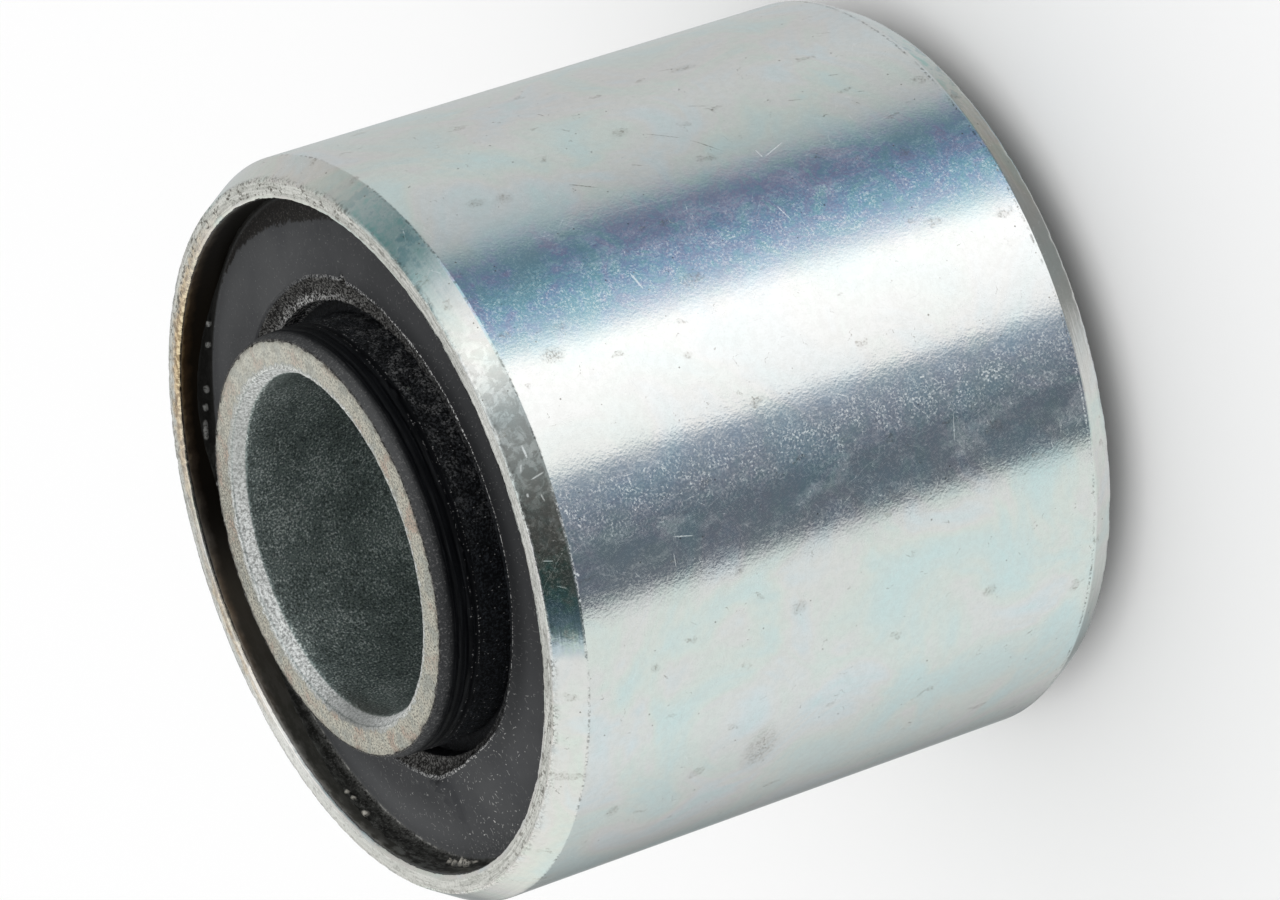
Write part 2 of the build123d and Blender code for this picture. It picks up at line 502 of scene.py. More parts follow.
def rubber_end(segments, seed, fineness, shown):
    """One end's rings, from the bond with the outer sleeve to the bond with the hub, and their masks.

    fineness scales the number of rows. shown is 1 for the end with the listed marks, 0 for the other.
    """
    angle = side_angles(segments)[None, :]
    rim_line = around(np.array([[BOND_RADIUS]]), np.array([[RIM_TOP]]), segments)
    hub_line = around(np.array([[HUB_RADIUS]]), np.array([[HUB_TOP]]), segments)
    slow = bumps(rim_line, 9, seed)
    ragged = bumps(rim_line, 1.6, seed + 1)
    lip_radius, rough, notch = lip_line(angle, slow, ragged, shown)
    lip_half = 0.045 + 0.08 * rough
    flash = 0.03 + 0.03 * window(angle, -60, 100) * (1 + bumps(rim_line, 0.4, seed + 10))
    climbing = window(angle, -122, 66) * (1.25 + 0.12 * ragged + 0.1 * bumps(rim_line, 0.5, seed + 9))
    skin_height = 0.08 + 0.05 * slow + 0.08 * np.abs(ragged)
    skin_height = np.maximum(skin_height + shown * (climbing + 0.9 * window(angle, 148, 30)), 0.04)

    profile = Profile(segments, fineness)
    skin_and_face_rows(profile, skin_height, lip_radius + lip_half)
    lip_and_ledge_rows(profile, lip_radius, lip_half, flash, notch)
    groove_and_jacket_rows(profile)
    nose_rows(profile, hub_line, seed)
    grid = profile.grid()
    zone = zones_of(profile.parts, segments)
    radius = radius_of(grid)
    out, torn, fine = rubber_relief(grid, zone, rough, seed)
    if shown:
        out += placed_relief(grid, zone, fine)
    grid += normals_of(grid) * out[..., None]
    grid[..., 2] = np.minimum(grid[..., 2], HIGHEST)
    grid[..., :2] /= np.maximum(radius_of(grid) / BOND_RADIUS, 1)[..., None]
    zones = {name: zone[name] for name in ("face", "lip", "ledge", "skin", "fringe", "nose", "jacket")}
    zones["torn"] = torn
    zones["foot"] = (zone["skin"] + zone["face"]) * np.exp(-((BOND_RADIUS - 0.24 - radius) / 0.1) ** 2)
    return grid, zones


def make_rubber(segments=640):
    upper, upper_zones = rubber_end(segments, 20, 1, 1)
    lower, lower_zones = rubber_end(segments // 2, 40, 0.5, 0)
    lower = lower[::-1].copy()
    lower[..., 2] = HUB_TOP - lower[..., 2]
    attributes = {name: [upper_zones[name], lower_zones[name][::-1]] for name in upper_zones}
    return lathe_object("rubber_surface", [upper, lower], attributes)


# ================================================================ materials
def operator(name, swapped=False):
    """A method that adds a math node."""
    def apply(self, other=0):
        return self.graph.math(name, *((other, self) if swapped else (self, other)))
    return apply


class Value:
    """One output of a node. Arithmetic with it adds the nodes that work it out."""

    def __init__(self, graph, socket):
        self.graph = graph
        self.socket = socket

    __add__ = __radd__ = operator("ADD")
    __mul__ = __rmul__ = operator("MULTIPLY")
    __sub__ = operator("SUBTRACT")
    __rsub__ = operator("SUBTRACT", swapped=True)
    __truediv__ = operator("DIVIDE")
    __gt__ = operator("GREATER_THAN")
    __lt__ = operator("LESS_THAN")
    __abs__ = operator("ABSOLUTE")


def most(first, *others):
    """The largest of some values."""
    for other in others:
        first = first.graph.math("MAXIMUM", first, other)
    return first


def least(first, second):
    return first.graph.math("MINIMUM", first, second)


class Graph:
    """Short calls that add a node to a node tree and give back its output. Colours are (red, green, blue)."""

    def __init__(self, tree):
        self.tree = tree
        tree.nodes.clear()

    def put(self, socket, value):
        if isinstance(value, Value):
            self.tree.links.new(value.socket, socket)
        else:
            socket.default_value = (*value, 1) if socket.type == "RGBA" else value

    def add(self, kind, inputs, **settings):
        made = self.tree.nodes.new(kind)
        for name, value in settings.items():
            setattr(made, name, value)
        for name, value in inputs.items():
            self.put(made.inputs[name], value)
        return made

    def node(self, kind, inputs, output=0, **settings):
        return Value(self, self.add(kind, inputs, **settings).outputs[output])

    def outputs(self, kind, inputs, **settings):
        return [Value(self, socket) for socket in self.add(kind, inputs, **settings).outputs]

    def math(self, operation, first, second=0, third=0):
        return self.node("ShaderNodeMath", {0: first, 1: second, 2: third}, operation=operation)

    def step(self, value, low, high, start=0, end=1):
        """Smooth step from start, where the value is low, to end, where it is high."""
        inputs = {"Value": value, "From Min": low, "From Max": high, "To Min": start, "To Max": end}
        return self.node("ShaderNodeMapRange", inputs, interpolation_type="SMOOTHSTEP")

    def band(self, value, middle, half_width):
        """Mask that is 1 where a value is in the middle of a band and 0 outside it."""
        return self.step(abs(value - middle), half_width, 0)

    def mix(self, factor, first, second):
        return self.node("ShaderNodeMix", {0: factor, 6: first, 7: second}, output=2, data_type="RGBA")

    def layered(self, colour, *layers):
        """A colour with others laid over it in turn, each given with its mask."""
        for mask, other in layers:
            colour = self.mix(mask, colour, other)
        return colour

    def combine(self, x, y, z=0):
        return self.node("ShaderNodeCombineXYZ", {0: x, 1: y, 2: z})

    def vector(self, operation, first, second, output=0):
        return self.node("ShaderNodeVectorMath", {0: first, 1: second}, output=output, operation=operation)

    def scaled(self, vector, amount):
        return self.node("ShaderNodeVectorMath", {0: vector, "Scale": amount}, operation="SCALE")

    def ramp(self, value, stops):
        made = self.add("ShaderNodeValToRGB", {"Fac": value})
        elements = made.color_ramp.elements
        while len(elements) < len(stops):
            elements.new(0.5)
        for element, (place, colour) in zip(elements, stops):
            element.position = place
            element.color = (*colour, 1)
        return Value(self, made.outputs[0])

    def round_axis(self, place):
        """Side angle in degrees, height, and distance from the axis, of a place on the bush."""
        x, y, height = self.outputs("ShaderNodeSeparateXYZ", {"Vector": place})
        angle = self.math("ARCTAN2", x, y * -1) * math.degrees(1)
        return angle, height, self.math("SQRT", x * x + y * y)


class Surface(Graph):
    """The graph of a new material, with its places on the bush, and the mesh's zones by their names."""

    def __init__(self, name, *zones):
        self.material = bpy.data.materials.new(name)
        self.material.use_nodes = True
        super().__init__(self.material.node_tree)
        self.place = self.scaled(self.node("ShaderNodeTexCoord", {}, output=3), 1 / MM)
        self.unrolled = self.node("ShaderNodeUVMap", {}, uv_map="surface")
        self.angle, self.height, self.radius = self.round_axis(self.place)
        self.across = self.angle * DEGREE_ON_SIDE
        # unrolled side, with a 1 as third number that lets a dot product add an offset
        self.on_side = self.combine(self.across, self.height, 1)
        for zone in zones:
            setattr(self, zone, self.node("ShaderNodeAttribute", {}, output=2, attribute_name=zone))

    def noise(self, size, detail=3, rough=0.55, distortion=0, colour=False, at=None):
        """Noise with bumps of a size in millimetres, on the bush or at another place."""
        inputs = {"Vector": at or self.place, "Scale": 1 / size, "Detail": detail, "Roughness": rough,
                  "Distortion": distortion}
        return self.node("ShaderNodeTexNoise", inputs, output=1 if colour else 0)

    def arc(self, centre, half_width):
        """Mask that is 1 at a side angle and falls smoothly to 0 at half_width degrees away from it."""
        away = abs(self.math("WRAP", self.angle - centre, 180, -180))
        return self.step(away, half_width, 0)

    def bump(self, height, distance_mm):
        return self.node("ShaderNodeBump", {"Height": height, "Distance": distance_mm * MM, "Strength": 1})

    def finish(self, inputs):
        shader = self.node("ShaderNodeBsdfPrincipled", inputs)
        self.add("ShaderNodeOutputMaterial", {"Surface": shader})
        return self.material


def cells(g, place, cell, shift):
    """A place's distance and offset from the middle of its cell, and three numbers that each cell has."""
    scaled = g.vector("ADD", g.scaled(place, 1 / cell), (*shift, 0))
    inputs = {"Vector": scaled, "Scale": 1}
    distance, colour, middle, *_ = g.outputs("ShaderNodeTexVoronoi", inputs, voronoi_dimensions="2D")
    numbers = g.outputs("ShaderNodeSeparateColor", {"Color": colour})
    return distance, g.vector("SUBTRACT", scaled, middle), numbers


def cell_lines(g, place, cell, share, length, width, seed):
    """Mask of short straight lines, one in a share of the cells, each with its own direction and length."""
    _, offset, (turn, reach, chance) = cells(g, place, cell, (seed * 3.7, seed * 1.9))
    inputs = {"Vector": offset, "Angle": turn * (2 * math.pi)}
    turned = g.node("ShaderNodeVectorRotate", inputs, rotation_type="Z_AXIS")
    along, across, _ = g.outputs("ShaderNodeSeparateXYZ", {"Vector": turned})
    inside = abs(along) < reach * (0.7 * length / cell) + 0.3 * length / cell
    return inside * g.step(abs(across), 0.5 * width / cell, 0) * (chance < share)


def cell_blots(g, place, cell, share, radius, seed):
    """Mask of ragged spots, one in a share of the cells, each with its own size."""
    distance, _, (_, size, chance) = cells(g, place, cell, (seed * 5.3, seed * 2.1))
    near = distance / (size * (0.75 * radius / cell) + 0.25 * radius / cell)
    return g.step(near, 1, 0.45) * (chance < share)


def placed_line(g, mark):
    """Mask of one scratch, given as side angle and height of one end and the other, width and strength."""
    first_angle, first_height, last_angle, last_height, width, strength = mark
    first = Vector((first_angle * DEGREE_ON_SIDE, first_height))
    last = Vector((last_angle * DEGREE_ON_SIDE, last_height))
    middle = (first + last) / 2
    along = (last - first).normalized() / ((last - first).length / 2)
    sideways = Vector((-along.y, along.x)).normalized() / (width / 2)
    run = g.vector("DOT_PRODUCT", g.on_side, (*along, -along.dot(middle)), output=1)
    away = g.vector("DOT_PRODUCT", g.on_side, (*sideways, -sideways.dot(middle)), output=1)
    squared = run * run
    return g.step(g.math("MULTIPLY_ADD", squared, squared, away * away), 0.72, 0, 0, strength)


def placed_marks(g, marks):
    """Mask of several scratches."""
    return most(*[placed_line(g, mark) for mark in marks])


def placed_blots(g, spots):
    """Mask of several stains, each given as side angle, height, half width and half height."""
    masks = []
    for angle, middle, half_width, half_height in spots:
        size = (1 / half_width, 1 / half_height, 0)
        offset = (-angle * DEGREE_ON_SIDE / half_width, -middle / half_height, 0)
        local = g.node("ShaderNodeVectorMath", {0: g.on_side, 1: size, 2: offset}, operation="MULTIPLY_ADD")
        masks.append(g.step(g.vector("LENGTH", local, (0, 0, 0), output=1), 1, 0.2))
    return most(*masks)


# Marks picked by eye in the photograph, whose pixels a helper script turned into side angles and heights.
# scratches seen on the sleeve's side: side angle and height of one end and the other, width, strength
BRIGHT_SCRATCHES = [
    (24.6, 28.4, 21.1, 28.1, 0.18, 1),
    (27.8, 17.8, 24.2, 17.4, 0.12, 0.7),
    (35.7, 31, 33.9, 21.8, 0.07, 0.25),
    (-14, 31.9, -15, 30.3, 0.12, 0.6),
    (-16.1, 31.9, -18.8, 31.9, 0.1, 0.5),
    (-1.9, 19.4, -3.1, 18.6, 0.12, 0.6),
    (-9.7, 12.3, -14.5, 12.7, 0.09, 0.5),
    (-3, 33.6, -5.9, 33.5, 0.09, 0.4),
    (38.2, 16.7, 36.1, 16.6, 0.12, 0.7),
    (36.1, 16.6, 38, 14.7, 0.12, 0.7),
    (-3.6, 33.9, -3.6, 33.1, 0.1, 0.5),
    (-3.6, 13.9, -3.7, 13.5, 0.14, 0.9),
    (-14.6, 38.2, -15.2, 38, 0.2, 0.9),
    (-5.4, 37.9, -6.2, 37.8, 0.2, 0.8),
    (-8, 37.4, -8.6, 37.2, 0.2, 0.8),
]
# and on the upper bevel
BEVEL_SCRATCHES = [
    (5.4, 39, 3, 38.95, 0.16, 0.9),
    (0, 39.2, 0.6, 38.35, 0.14, 0.8),
    (-1.6, 39.5, -2.3, 39.5, 0.18, 0.8),
    (-2.2, 38.9, -3.6, 38.8, 0.12, 0.6),
    (-11.8, 39.7, -12.2, 39.1, 0.1, 0.6),
    (1.4, 39.5, 2.8, 39.3, 0.14, 0.5),
    (-15.8, 39.3, -16.6, 38.7, 0.1, 0.4),
]
DARK_SCRATCHES = [
    (42.6, 28.3, 39.9, 26.7, 0.14, 1),
    (48.5, 22, 44.4, 19.9, 0.12, 0.8),
    (44.4, 19.9, 39.3, 18.4, 0.12, 0.8),
    (61.8, 25.6, 60.2, 25.4, 0.14, 0.9),
    (55.3, 25.6, 53.7, 25.3, 0.16, 1),
    (51.4, 18.1, 49.7, 16.9, 0.12, 0.8),
    (54.8, 25.6, 54, 25.2, 0.14, 0.9),
    (42.6, 24.1, 41.6, 23.4, 0.14, 0.7),
    (45.6, 12.6, 44.8, 11.6, 0.12, 0.8),
    (48.3, 9.1, 47.8, 8.4, 0.14, 0.9),
    (43, 8.4, 42.6, 7.9, 0.14, 0.9),
    (63.6, 16.9, 62.8, 15.8, 0.14, 0.8),
    (-27.2, 31.5, -28.2, 31, 0.1, 0.6),
    (-34.2, 33.4, -35.4, 33, 0.14, 0.8),
    (-28.4, 16.9, -29.2, 16.5, 0.12, 0.7),
    (-34.4, 9.1, -35.2, 8.9, 0.12, 0.7),
    (-38.6, 10.8, -39.8, 10.5, 0.12, 0.6),
    (1.6, 24.6, 0.7, 24.4, 0.12, 0.7),
]
# stains seen there: side angle, height, half width, half height
STAINS = [
    (16, 35.2, 0.7, 1),
    (9.9, 27.4, 0.3, 0.4),
    (44.5, 33.9, 0.5, 0.8),
    (43.8, 32.2, 0.6, 0.7),
    (50, 22.9, 0.6, 0.7),
    (62, 15.6, 0.5, 1.2),
    (-55.9, 25.9, 2.4, 1.6),
    (-31, 24.2, 0.6, 0.7),
    (-39.5, 11, 0.5, 0.7),
    (-32.7, 33.9, 0.4, 0.4),
    (-58.7, 35.6, 0.6, 0.6),
]
# interference tints of the plating, by the value of a noise: pale ones all over, and deeper, darker ones where
# the dark bands are mirrored, as painted reflection; and two sets on the bevel, along its front and on the part
# that is uppermost in the photograph
PALE_HUES = [
    (0.3, (0.7, 0.9, 0.9)), (0.4, (0.76, 0.88, 0.85)), (0.47, (0.86, 0.88, 0.8)),
    (0.53, (0.93, 0.85, 0.82)), (0.6, (0.85, 0.87, 0.9)), (0.7, (0.72, 0.88, 0.9)),
]
PAINTED_BAND_HUES = [
    (0.34, (0.36, 0.68, 0.7)), (0.42, (0.4, 0.66, 0.76)), (0.49, (0.44, 0.58, 0.78)),
    (0.55, (0.56, 0.53, 0.73)), (0.6, (0.45, 0.6, 0.77)), (0.68, (0.4, 0.72, 0.73)),
]
BEVEL_HUES = [
    (0, (0.24, 0.46, 0.6)), (0.22, (0.26, 0.55, 0.5)), (0.4, (0.48, 0.52, 0.44)),
    (0.6, (0.56, 0.5, 0.44)), (0.85, (0.46, 0.54, 0.5)), (1, (0.66, 0.64, 0.58)),
]
BEVEL_SIDE_HUES = [
    (0.36, (0.4, 0.7, 0.66)), (0.46, (0.66, 0.78, 0.76)), (0.52, (0.8, 0.84, 0.82)),
    (0.58, (0.44, 0.58, 0.62)), (0.66, (0.36, 0.56, 0.58)),
]
# colours of the sleeve's bore from the rim down to the rubber: on its brown stained side, and elsewhere
STAINED_WALL = [
    (0, (0.78, 0.56, 0.32)), (0.12, (0.5, 0.33, 0.16)), (0.3, (0.17, 0.1, 0.05)),
    (0.9, (0.04, 0.03, 0.02)),
]
PLAIN_WALL = [(0, (0.55, 0.55, 0.5)), (0.3, (0.2, 0.19, 0.17)), (0.8, (0.04, 0.036, 0.03))]


def zinc_tints(g):
    """Base colour of clean plating, with its interference tints, and darker tints where the dark bands are
    mirrored, as painted reflection.
    """
    on_side = (1 - g.bevel) * g.step(g.height, RIM_TOP - 1.2, RIM_TOP - UPPER_BEVEL[1])
    tint = g.ramp(g.noise(7, 4, distortion=0.7), PALE_HUES)
    pale = g.mix(0.55 - 0.4 * g.arc(9, 20), (0.82, 0.85, 0.85), tint)
    cloudy = g.step(g.noise(0.45, 3, 0.7), 0.4, 0.62)
    streaks = g.noise(0.5, 3, 0.7, at=g.vector("MULTIPLY", g.place, (1, 1, 0.6)))
    deep_cloud = g.noise(2.6, 5, 0.7, distortion=0.8) + (streaks - 0.5) * 0.35
    deep_cloud = deep_cloud + g.step(g.height, 26, 35, 0, -0.1) + g.step(g.height, 18, 8, 0, -0.06)
    # side angles where the plating mirrors dark bands, and the front band: their darker deep tints are painted
    # reflection
    painted_dark_band = g.step(g.angle, 15, 25) * g.step(g.angle, 41, 30) * on_side
    front = g.arc(-12, 14) * on_side
    return g.layered(
        pale,
        (cloudy * 0.14, (0.6, 0.6, 0.58)),
        (painted_dark_band * 0.78 + front * 0.24, g.ramp(deep_cloud, PAINTED_BAND_HUES)),
    )


def bevel_tints(g, colour):
    """The bevels' tints and, on the upper one's front, its worn patches."""
    cloud = g.noise(1.3, 5, 0.65)
    along = g.step(g.angle, -27, 6) + (cloud - 0.5) * 1.9
    upper = g.bevel * (g.height > MIDDLE)
    front = upper * g.arc(-14, 22) * g.step(g.angle, -28, -26)
    worn = upper * g.arc(0, 34)
    patchy = g.noise(0.7, 5, 0.68, distortion=0.4)
    return g.layered(
        colour,
        (g.bevel * g.arc(46, 20) * 0.8, g.ramp(cloud, BEVEL_SIDE_HUES)),
        (front * 0.85, g.ramp(along, BEVEL_HUES)),
        (worn * g.step(patchy, 0.56, 0.46) * 0.55, (0.34, 0.33, 0.31)),
        (worn * g.step(patchy, 0.52, 0.62) * 0.5, (0.98, 0.99, 0.97)),
    )


def zinc_dirt(g, colour):
    """Dull film, stains, specks and dark scratches. Returns the mask of the stains too."""
    wobble = g.scaled(g.vector("SUBTRACT", g.noise(0.6, 1, colour=True), (0.5, 0.5, 0.5)), 1.3)
    speckle = g.step(g.noise(0.17, 3, 0.7), 0.47, 0.62)
    squeezed = g.vector("MULTIPLY", g.unrolled, (1.3, 0.75, 1))
    random_stains = cell_blots(g, g.vector("ADD", squeezed, wobble), 3.8, 0.5, 0.55, 1) * 0.8
    stains = most(random_stains, placed_blots(g, STAINS)) * (speckle * 0.75 + 0.25)
    specks = cell_blots(g, g.unrolled, 1.5, 0.22, 0.08, 2)
    ticks = cell_lines(g, g.vector("ADD", g.unrolled, wobble), 1.9, 0.4, 0.42, 0.1, 9) * speckle
    dark = placed_marks(g, DARK_SCRATCHES)
    colour = g.layered(
        colour,
        (stains * 0.62, (0.3, 0.27, 0.23)),
        (specks * 0.75, (0.16, 0.14, 0.12)),
        (ticks * 0.75, (0.2, 0.18, 0.15)),
        (dark * (speckle * 0.55 + 0.3), (0.2, 0.18, 0.15)),
    )
    return colour, stains


def zinc_pits_and_painted_light(g, side):
    """Mask of bright pits, made dense where a panel's light ends as painted glints, of pale haze in the dark
    bands as a painted sheen, and of pale specks along the bevel's edge, partly wear and partly painted glints.
    """
    frost = g.noise(0.14, 3, 0.7)
    patches = g.step(g.noise(0.9, 4, 0.65), 0.32, 0.66, 0.25, 1)
    flecks = (g.step(frost, 0.46, 0.62) + g.step(frost, 0.6, 0.68) * 0.6) * patches
    # where a bright band ends the pits are made dense: painted glints
    sparkling = g.arc(-6, 7) + g.arc(-21, 6) * 0.4 + g.arc(21.5, 10)
    lit = g.step(g.angle, -1, 1) * g.step(g.angle, 19, 16)
    share = side * (1 - lit) * (sparkling * 0.56 + 0.15) + g.bevel * g.arc(-14, 18) * 0.16
    # pale haze laid only where the dark bands are mirrored: painted sheen
    sheen_patches = g.step(g.noise(1.5, 4, 0.65, at=g.vector("MULTIPLY", g.place, (1, 1, 0.5))), 0.48, 0.68)
    painted_sheen = side * sheen_patches * most(g.arc(28, 12), g.arc(-15, 12)) * (frost * 0.6 - 0.1)
    # pale specks along the upper bevel's edge round side -17: partly wear, partly painted glints
    at_edge = g.band(g.from_end, UPPER_BEVEL[1] + 0.02, 0.11) * g.arc(-17, 18)
    return flecks * share + painted_sheen + at_edge * g.step(frost, 0.42, 0.58) * 0.75


def zinc_scratches_and_painted_light(g, scuffed):
    """Mask of all that is pale on the plating: scratches, pits, painted glints and sheen, and painted
    highlights on the rim.
    """
    bent = g.vector("ADD", g.unrolled, g.scaled(g.noise(1.8, 1, colour=True), 0.5))
    tiny = cell_lines(g, bent, 0.42, 0.6, 0.22, 0.05, 1)
    short = cell_lines(g, bent, 1.5, 0.4, 0.6, 0.05, 2)
    long = cell_lines(g, bent, 6.5, 0.2, 2.2, 0.045, 3)
    scuffs = (tiny * 0.32 + short * 0.45) * (scuffed * 0.75 + 0.25) * (1 - g.wall) + long * 0.3
    seen = most(placed_marks(g, BRIGHT_SCRATCHES), g.bevel * placed_marks(g, BEVEL_SCRATCHES))
    side = 1 - most(g.bevel, g.rim, g.wall)
    # the flat rim made pale round sides 2 and -152: painted highlights
    rim_painted_highlight = g.rim * (g.arc(2, 30) * 0.45 + g.arc(-152, 30) * 0.7)
    return least(scuffs + seen + zinc_pits_and_painted_light(g, side) + rim_painted_highlight, 1)


def stained_side(g):
    """Mask of the sides where the bore and its rim are stained brown."""
    return most(g.arc(138, 48), g.arc(-172, 24) * 0.7)


def zinc_rim(g, colour):
    """A dull rough rim, paler round side -128 as painted light, its stain with bright flecks in it as painted
    glints, its pits, and dirt in a broken line at each edge of the bevel.

    Returns the lathe's marks on the rim too.
    """
    cut = g.step(g.noise(0.16, 4, 0.72), 0.34, 0.54)
    turned = g.step(g.noise(1, 3, 0.6, at=g.combine(g.radius * 6.5, g.across * 0.3)), 0.38, 0.62)
    # the rim's base colour, paler round side -128: painted light
    dull = g.mix(g.arc(-128, 50), (0.42, 0.43, 0.4), (0.72, 0.73, 0.7))
    inner = g.step(g.radius + (g.noise(0.8) - 0.5) * 1.2, 21.2, 20.6)
    gold = stained_side(g) * inner * g.step(g.from_end, 0.6, 0.15)
    # bright flecks in the gold stain: painted glints
    glint = g.step(g.noise(0.35, 4, 0.7), 0.44, 0.58)
    pitted = g.step(g.noise(0.34, 5, 0.75, at=g.combine(g.across * 0.6, g.radius, g.height)), 0.54, 0.6)
    pitted_sides = 0.3 + g.arc(100, 90) * 0.8 + g.arc(-50, 45) * 0.5
    grit = g.step(g.noise(0.22, 4, 0.72), 0.46, 0.58)
    clump = g.step(g.noise(1.3), 0.4, 0.56)
    rim_edge = g.band(g.radius, OUTER_RADIUS - UPPER_BEVEL[0], 0.24) * most(clump * 0.7, g.arc(98, 50), 0.25)
    side_edge = g.band(g.from_end, UPPER_BEVEL[1], 0.13) * clump * (0.7 - 0.7 * g.arc(-14, 14))
    colour = g.layered(
        colour,
        (g.rim, g.mix((turned + cut) * 0.5, dull, (0.95, 0.95, 0.92))),
        (gold * 0.9, g.mix(glint, (0.38, 0.24, 0.11), (0.98, 0.76, 0.48))),
        (g.rim * pitted * pitted_sides, (0.16, 0.15, 0.13)),
        (grit * most(rim_edge, side_edge), (0.09, 0.085, 0.075)),
    )
    return colour, turned


def zinc_wall(g, colour):
    """The sleeve's bore above the rubber: straw colour at the rim, then brown, then black, smeared and dusty.

    Returns the mask of the dust too.
    """
    below = g.from_end + (g.noise(0.9) - 0.5) * 0.7
    down = g.step(below, 0, 1.2)
    smeared = g.step(g.noise(0.5, 5, 0.7, at=g.combine(g.across * 0.35, g.height)), 0.44, 0.58)
    smear = g.mix(smeared, (0.05, 0.047, 0.04), (0.34, 0.35, 0.33))
    plain = g.mix(g.arc(-118, 54) * g.step(below, 0.1, 0.4), g.ramp(down, PLAIN_WALL), smear)
    dusty = g.wall * g.step(g.arc(-150, 50), 0, 0.5) * g.step(below, 0.1, 0.3)
    dust = g.mix(smeared, (0.085, 0.082, 0.07), (0.24, 0.235, 0.215))
    dust = g.mix(g.arc(180, 34) * 0.8, dust, (0.17, 0.115, 0.07))
    colour = g.layered(
        colour,
        (g.wall, g.mix(stained_side(g), plain, g.ramp(down, STAINED_WALL))),
        (dusty, g.mix(g.step(below, 0.15, 0.75, 0, 0.85), dust, (0.03, 0.03, 0.025))),
    )
    return colour, dusty


def zinc_material():
    g = Surface("zinc_plate", "rim", "bevel", "wall")
    g.from_end = least(RIM_TOP - g.height, g.height - RIM_BASE)      # distance from the nearer rim
    scuffed = g.step(g.noise(2.4, 5, 0.66), 0.44, 0.6)
    pale = zinc_scratches_and_painted_light(g, scuffed)
    colour, stains = zinc_dirt(g, bevel_tints(g, zinc_tints(g)))
    colour = g.mix(pale * 0.7, colour, (0.84, 0.89, 0.9))
    colour, turned = zinc_rim(g, colour)
    colour, dusty = zinc_wall(g, colour)
    # the rim's inner edge made white and less metallic round side -154: a painted glint
    inner_edge = g.band(g.radius, BOND_RADIUS + 0.12, 0.2) * g.step(g.height, RIM_TOP - 0.4, RIM_TOP - 0.2)
    rim_edge_painted_glint = inner_edge * g.arc(-154, 30) * 0.85
    colour = g.mix(rim_edge_painted_glint, colour, (1, 0.98, 0.94))

    streaks = g.bevel * g.noise(1, at=g.combine(g.across * 0.12, g.radius * 7))
    haze = stains * 0.15 + (g.rim + g.wall) * 0.28 + streaks * 0.04
    rough = 0.1 + scuffed * 0.04 + haze - g.bevel * 0.02 + pale * 0.2
    peel = g.noise(0.17, 2, 0.6) * (0.0065 - 0.004 * g.bevel) + g.noise(0.8, 2) * 0.005
    normal = g.bump(peel + (streaks + g.rim * turned * 1.6) * 0.012, 1)
    metal = (1 - 0.6 * pale) * (1 - 0.9 * dusty) * (1 - 0.9 * rim_edge_painted_glint)
    return g.finish({"Base Color": colour, "Roughness": rough, "Normal": normal, "Metallic": metal})


END_HUES = [
    (0.38, (0.54, 0.55, 0.51)), (0.46, (0.74, 0.72, 0.64)), (0.55, (0.7, 0.67, 0.59)),
    (0.62, (0.66, 0.54, 0.46)),
]


def bore_colour(g, blast):
    """The blasted bore: grey with pale and dark grains and smudges, and painted shade at its top round side
    -112.
    """
    share = blast + (g.noise(3, 4, 0.6) - 0.5) * 0.4
    return g.layered(
        g.mix(g.step(share, 0.52, 0.68), (0.32, 0.37, 0.36), (0.96, 1, 0.98)),
        (g.step(share, 0.46, 0.36), (0.15, 0.17, 0.165)),
        (g.step(g.noise(1.5, 5, 0.75), 0.58, 0.68) * 0.55, (0.1, 0.115, 0.11)),
        # darker at the top round side -112: painted shade
        (g.arc(-112, 30) * g.step(g.height, 39.4, 41) * 0.6, (0.16, 0.15, 0.13)),
    )


def hub_end_colour(g, grain, coarse, patch):
    """The sawn end face, paler on its upper side in the photograph as painted light."""
    cracked = 0.44 + g.arc(165, 60) * 0.04
    return g.layered(
        g.mix(g.step(grain - cracked, -0.05, 0.09), (0.24, 0.23, 0.2), g.ramp(patch, END_HUES)),
        # paler round side 90: painted light
        (g.arc(90, 75) * 0.38, (0.9, 0.9, 0.84)),
        (g.step(coarse, 0.52, 0.34) * 0.4, (0.4, 0.385, 0.34)),
    )


def chamfer_colour(g):
    """The crumpled chamfer, darker round side 134 and darkest on the lower left in the photograph, as painted
    shade.
    """
    return g.layered(
        g.mix(g.step(g.noise(0.17, 4, 0.75), 0.34, 0.62), (0.28, 0.29, 0.28), (0.97, 0.98, 0.97)),
        # darker round side 134 and darkest round side -112: painted shade
        (g.arc(134, 40) * 0.45, (0.42, 0.43, 0.41)),
        (g.arc(-112, 34) * 0.7, (0.2, 0.205, 0.2)),
    )


def bare_steel_material():
    g = Surface("bare_steel", "end", "chamfer")
    grain = g.noise(0.14, 3, 0.7)
    blast = g.noise(0.125, 2, 0.6)
    coarse = g.noise(0.45, 3, 0.6)
    patch = g.noise(1.6, 4, 0.6)
    blurred = g.step(g.radius + (coarse - 0.5), 11.15, 10.85)
    chewed = g.step((coarse + grain) * 0.5, 0.47, 0.54) * g.step(patch, 0.4, 0.58, 0.35, 1)
    colour = g.layered(
        bore_colour(g, blast),
        (most(g.chamfer, g.end * blurred), chamfer_colour(g)),
        (g.end * (1 - blurred), hub_end_colour(g, grain, coarse, patch)),
        (g.step(g.radius, HUB_RADIUS - 0.42, HUB_RADIUS - 0.05) * chewed * 0.9, (0.1, 0.095, 0.085)),
    )
    drawn = g.step(g.noise(1, 2, at=g.combine(g.angle * 0.7, g.height * 0.05)), 0.6, 0.7)
    relief = grain * 0.6 + blast * 0.7 + coarse * 0.4 - drawn * 0.15
    rough = 0.4 + grain * 0.2 + g.chamfer * 0.15
    normal = g.bump(relief, 0.04)
    metal = 1 - 0.6 * g.chamfer
    return g.finish({"Base Color": colour, "Roughness": rough, "Normal": normal, "Metallic": metal})


